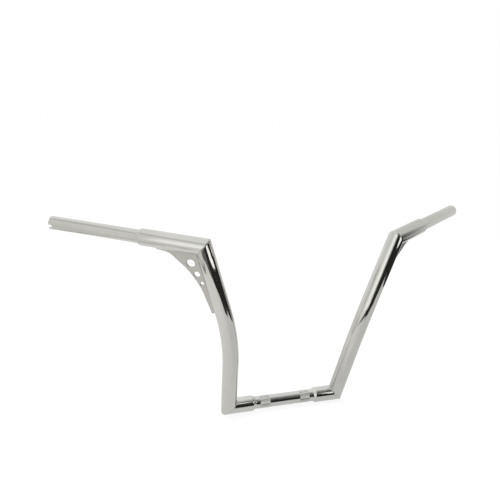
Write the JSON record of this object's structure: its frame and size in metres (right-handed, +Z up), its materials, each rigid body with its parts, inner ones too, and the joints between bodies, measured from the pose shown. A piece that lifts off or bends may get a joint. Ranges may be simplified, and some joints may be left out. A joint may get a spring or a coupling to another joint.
{
  "type": "ape hanger handlebar",
  "caption": "Tall mitred ape hanger handlebar in fat chromed tube, with bent uprights, pierced corner gussets, knurled clamp section and slim swept-back grips.",
  "frame": {"origin": "middle of the clamp section, on the clamp tube's axis", "axes": "+X along the clamp tube to the rider's left, +Y back toward the rider, +Z up, in line with the upper uprights seen from the side"},
  "size_m": [0.9086, 0.1897, 0.3968],
  "materials": {
    "chrome": "polished chrome plate on steel",
    "weld_chrome": "chrome plate over ground weld metal"
  },
  "bodies": {
    "root": {"clamp_tube": "chrome", "upright_right": "chrome", "upright_left": "chrome", "handle_right": "chrome", "handle_left": "chrome", "foot_weld_right": "weld_chrome", "foot_weld_left": "weld_chrome", "corner_weld_right": "weld_chrome", "corner_weld_left": "weld_chrome", "gusset_right": "chrome", "gusset_left": "chrome", "gusset_weld_right": "weld_chrome", "gusset_weld_left": "weld_chrome"}
  },
  "joints": []
}
